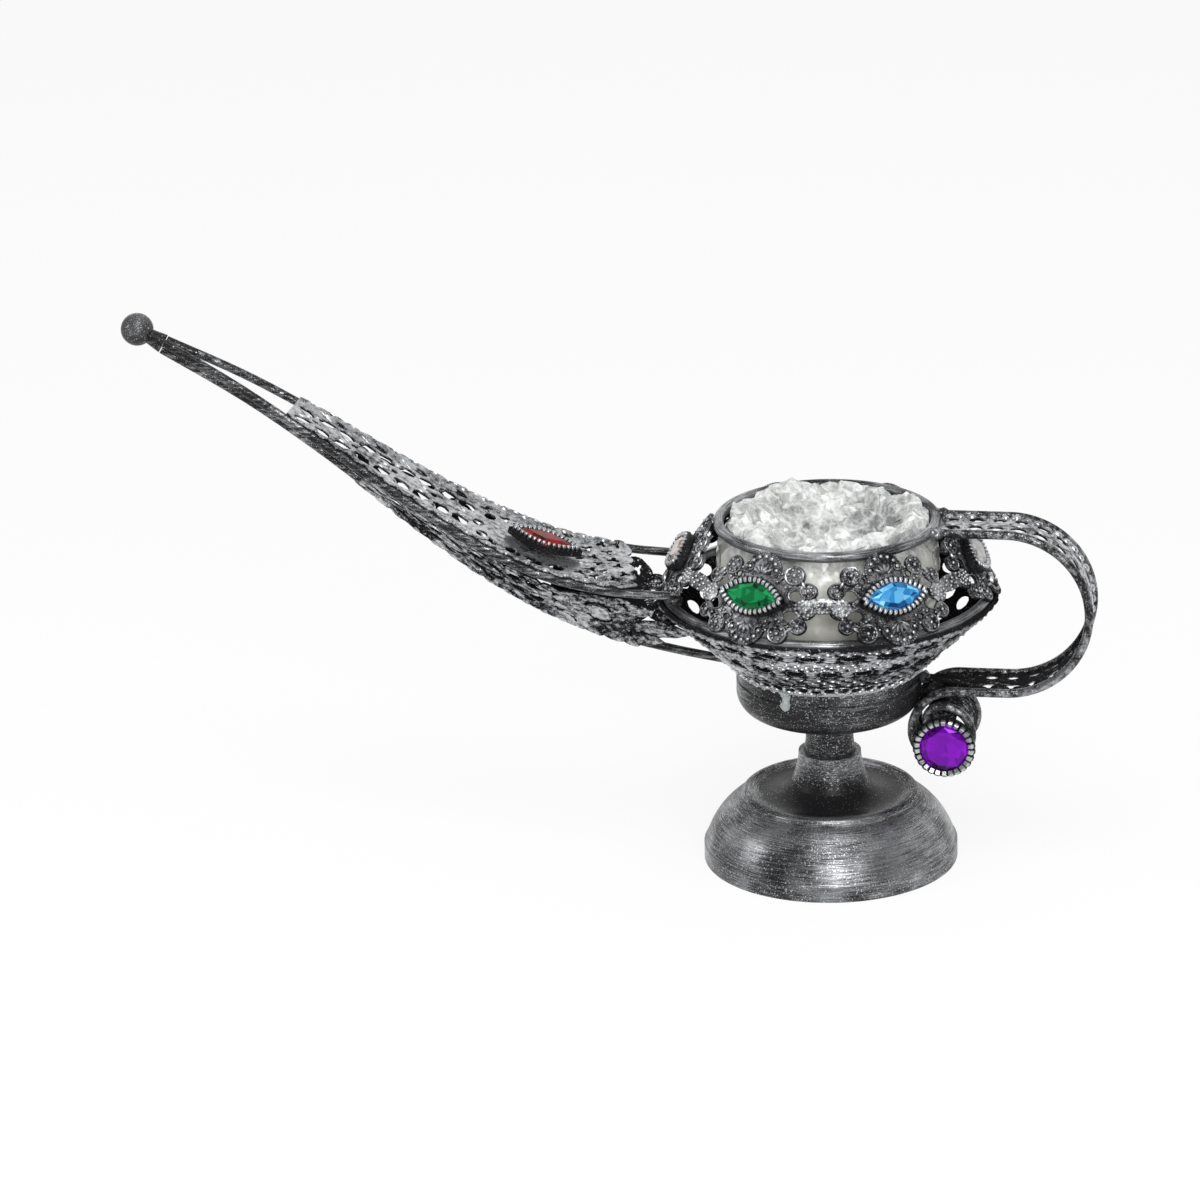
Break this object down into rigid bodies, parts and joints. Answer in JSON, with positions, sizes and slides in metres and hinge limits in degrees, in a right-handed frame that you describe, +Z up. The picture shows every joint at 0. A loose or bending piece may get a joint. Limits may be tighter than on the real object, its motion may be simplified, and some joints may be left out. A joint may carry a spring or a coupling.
{
  "type": "genie lamp",
  "caption": "Decorative genie lamp: spun pedestal and dish, filigree bowl cage with gem-set belt, long wire spout with pierced panels, looped handle with scroll, film wad in the bowl.",
  "frame": {"origin": "centre of the pedestal's foot, on the surface that the lamp stands on", "axes": "+Z up along the pedestal's axis, +X towards the handle, -X along the spout, +Y to the back"},
  "size_m": [0.2669, 0.091, 0.1519],
  "materials": {
    "antique_metal": "satin",
    "plain_steel": "satin",
    "gem_green": "gloss",
    "gem_blue": "gloss",
    "gem_pink": "gloss",
    "gem_clear": "gloss",
    "gem_red": "gloss",
    "gem_purple": "gloss",
    "glue": "satin",
    "film": "gloss"
  },
  "bodies": {
    "lamp": {"pedestal_base": "antique_metal", "neck_spacer": "antique_metal", "dish": "antique_metal", "top_ring": "antique_metal", "waist_ring": "antique_metal", "basket": "antique_metal", "spout_wire_front": "antique_metal", "spout_wire_back": "antique_metal", "spout_wire_bottom": "antique_metal", "spout_tip_ball": "antique_metal", "spout_tip_collar": "antique_metal", "spout_top_panel": "antique_metal", "spout_front_panel": "antique_metal", "spout_back_panel": "antique_metal", "spout_bezel": "antique_metal", "handle_wire_front": "antique_metal", "handle_wire_back": "antique_metal", "handle_band": "antique_metal", "scroll_band": "antique_metal", "handle_tab": "antique_metal", "scroll_bezel": "antique_metal", "belt_link_1": "antique_metal", "belt_link_2": "antique_metal", "belt_link_3": "antique_metal", "belt_link_4": "antique_metal", "belt_link_5": "antique_metal", "belt_link_6": "antique_metal", "belt_bezel_1": "antique_metal", "belt_bezel_2": "antique_metal", "belt_bezel_3": "antique_metal", "belt_bezel_4": "antique_metal", "belt_bezel_5": "antique_metal", "belt_bezel_6": "antique_metal", "centre_screw": "plain_steel", "screw_washer": "plain_steel", "screw_nut": "plain_steel", "belt_gem_1": "gem_clear", "belt_gem_2": "gem_red", "belt_gem_3": "gem_purple", "belt_gem_4": "gem_pink", "belt_gem_5": "gem_green", "belt_gem_6": "gem_blue", "spout_gem": "gem_red", "scroll_gem": "gem_purple", "glue_bead": "glue"},
    "film": {"crumpled_film": "film"}
  },
  "joints": [
    {"name": "film_lift", "type": "slide", "parent": "lamp", "child": "film", "axis": [0, 0, 1], "range_m": [0, 0.06]}
  ]
}
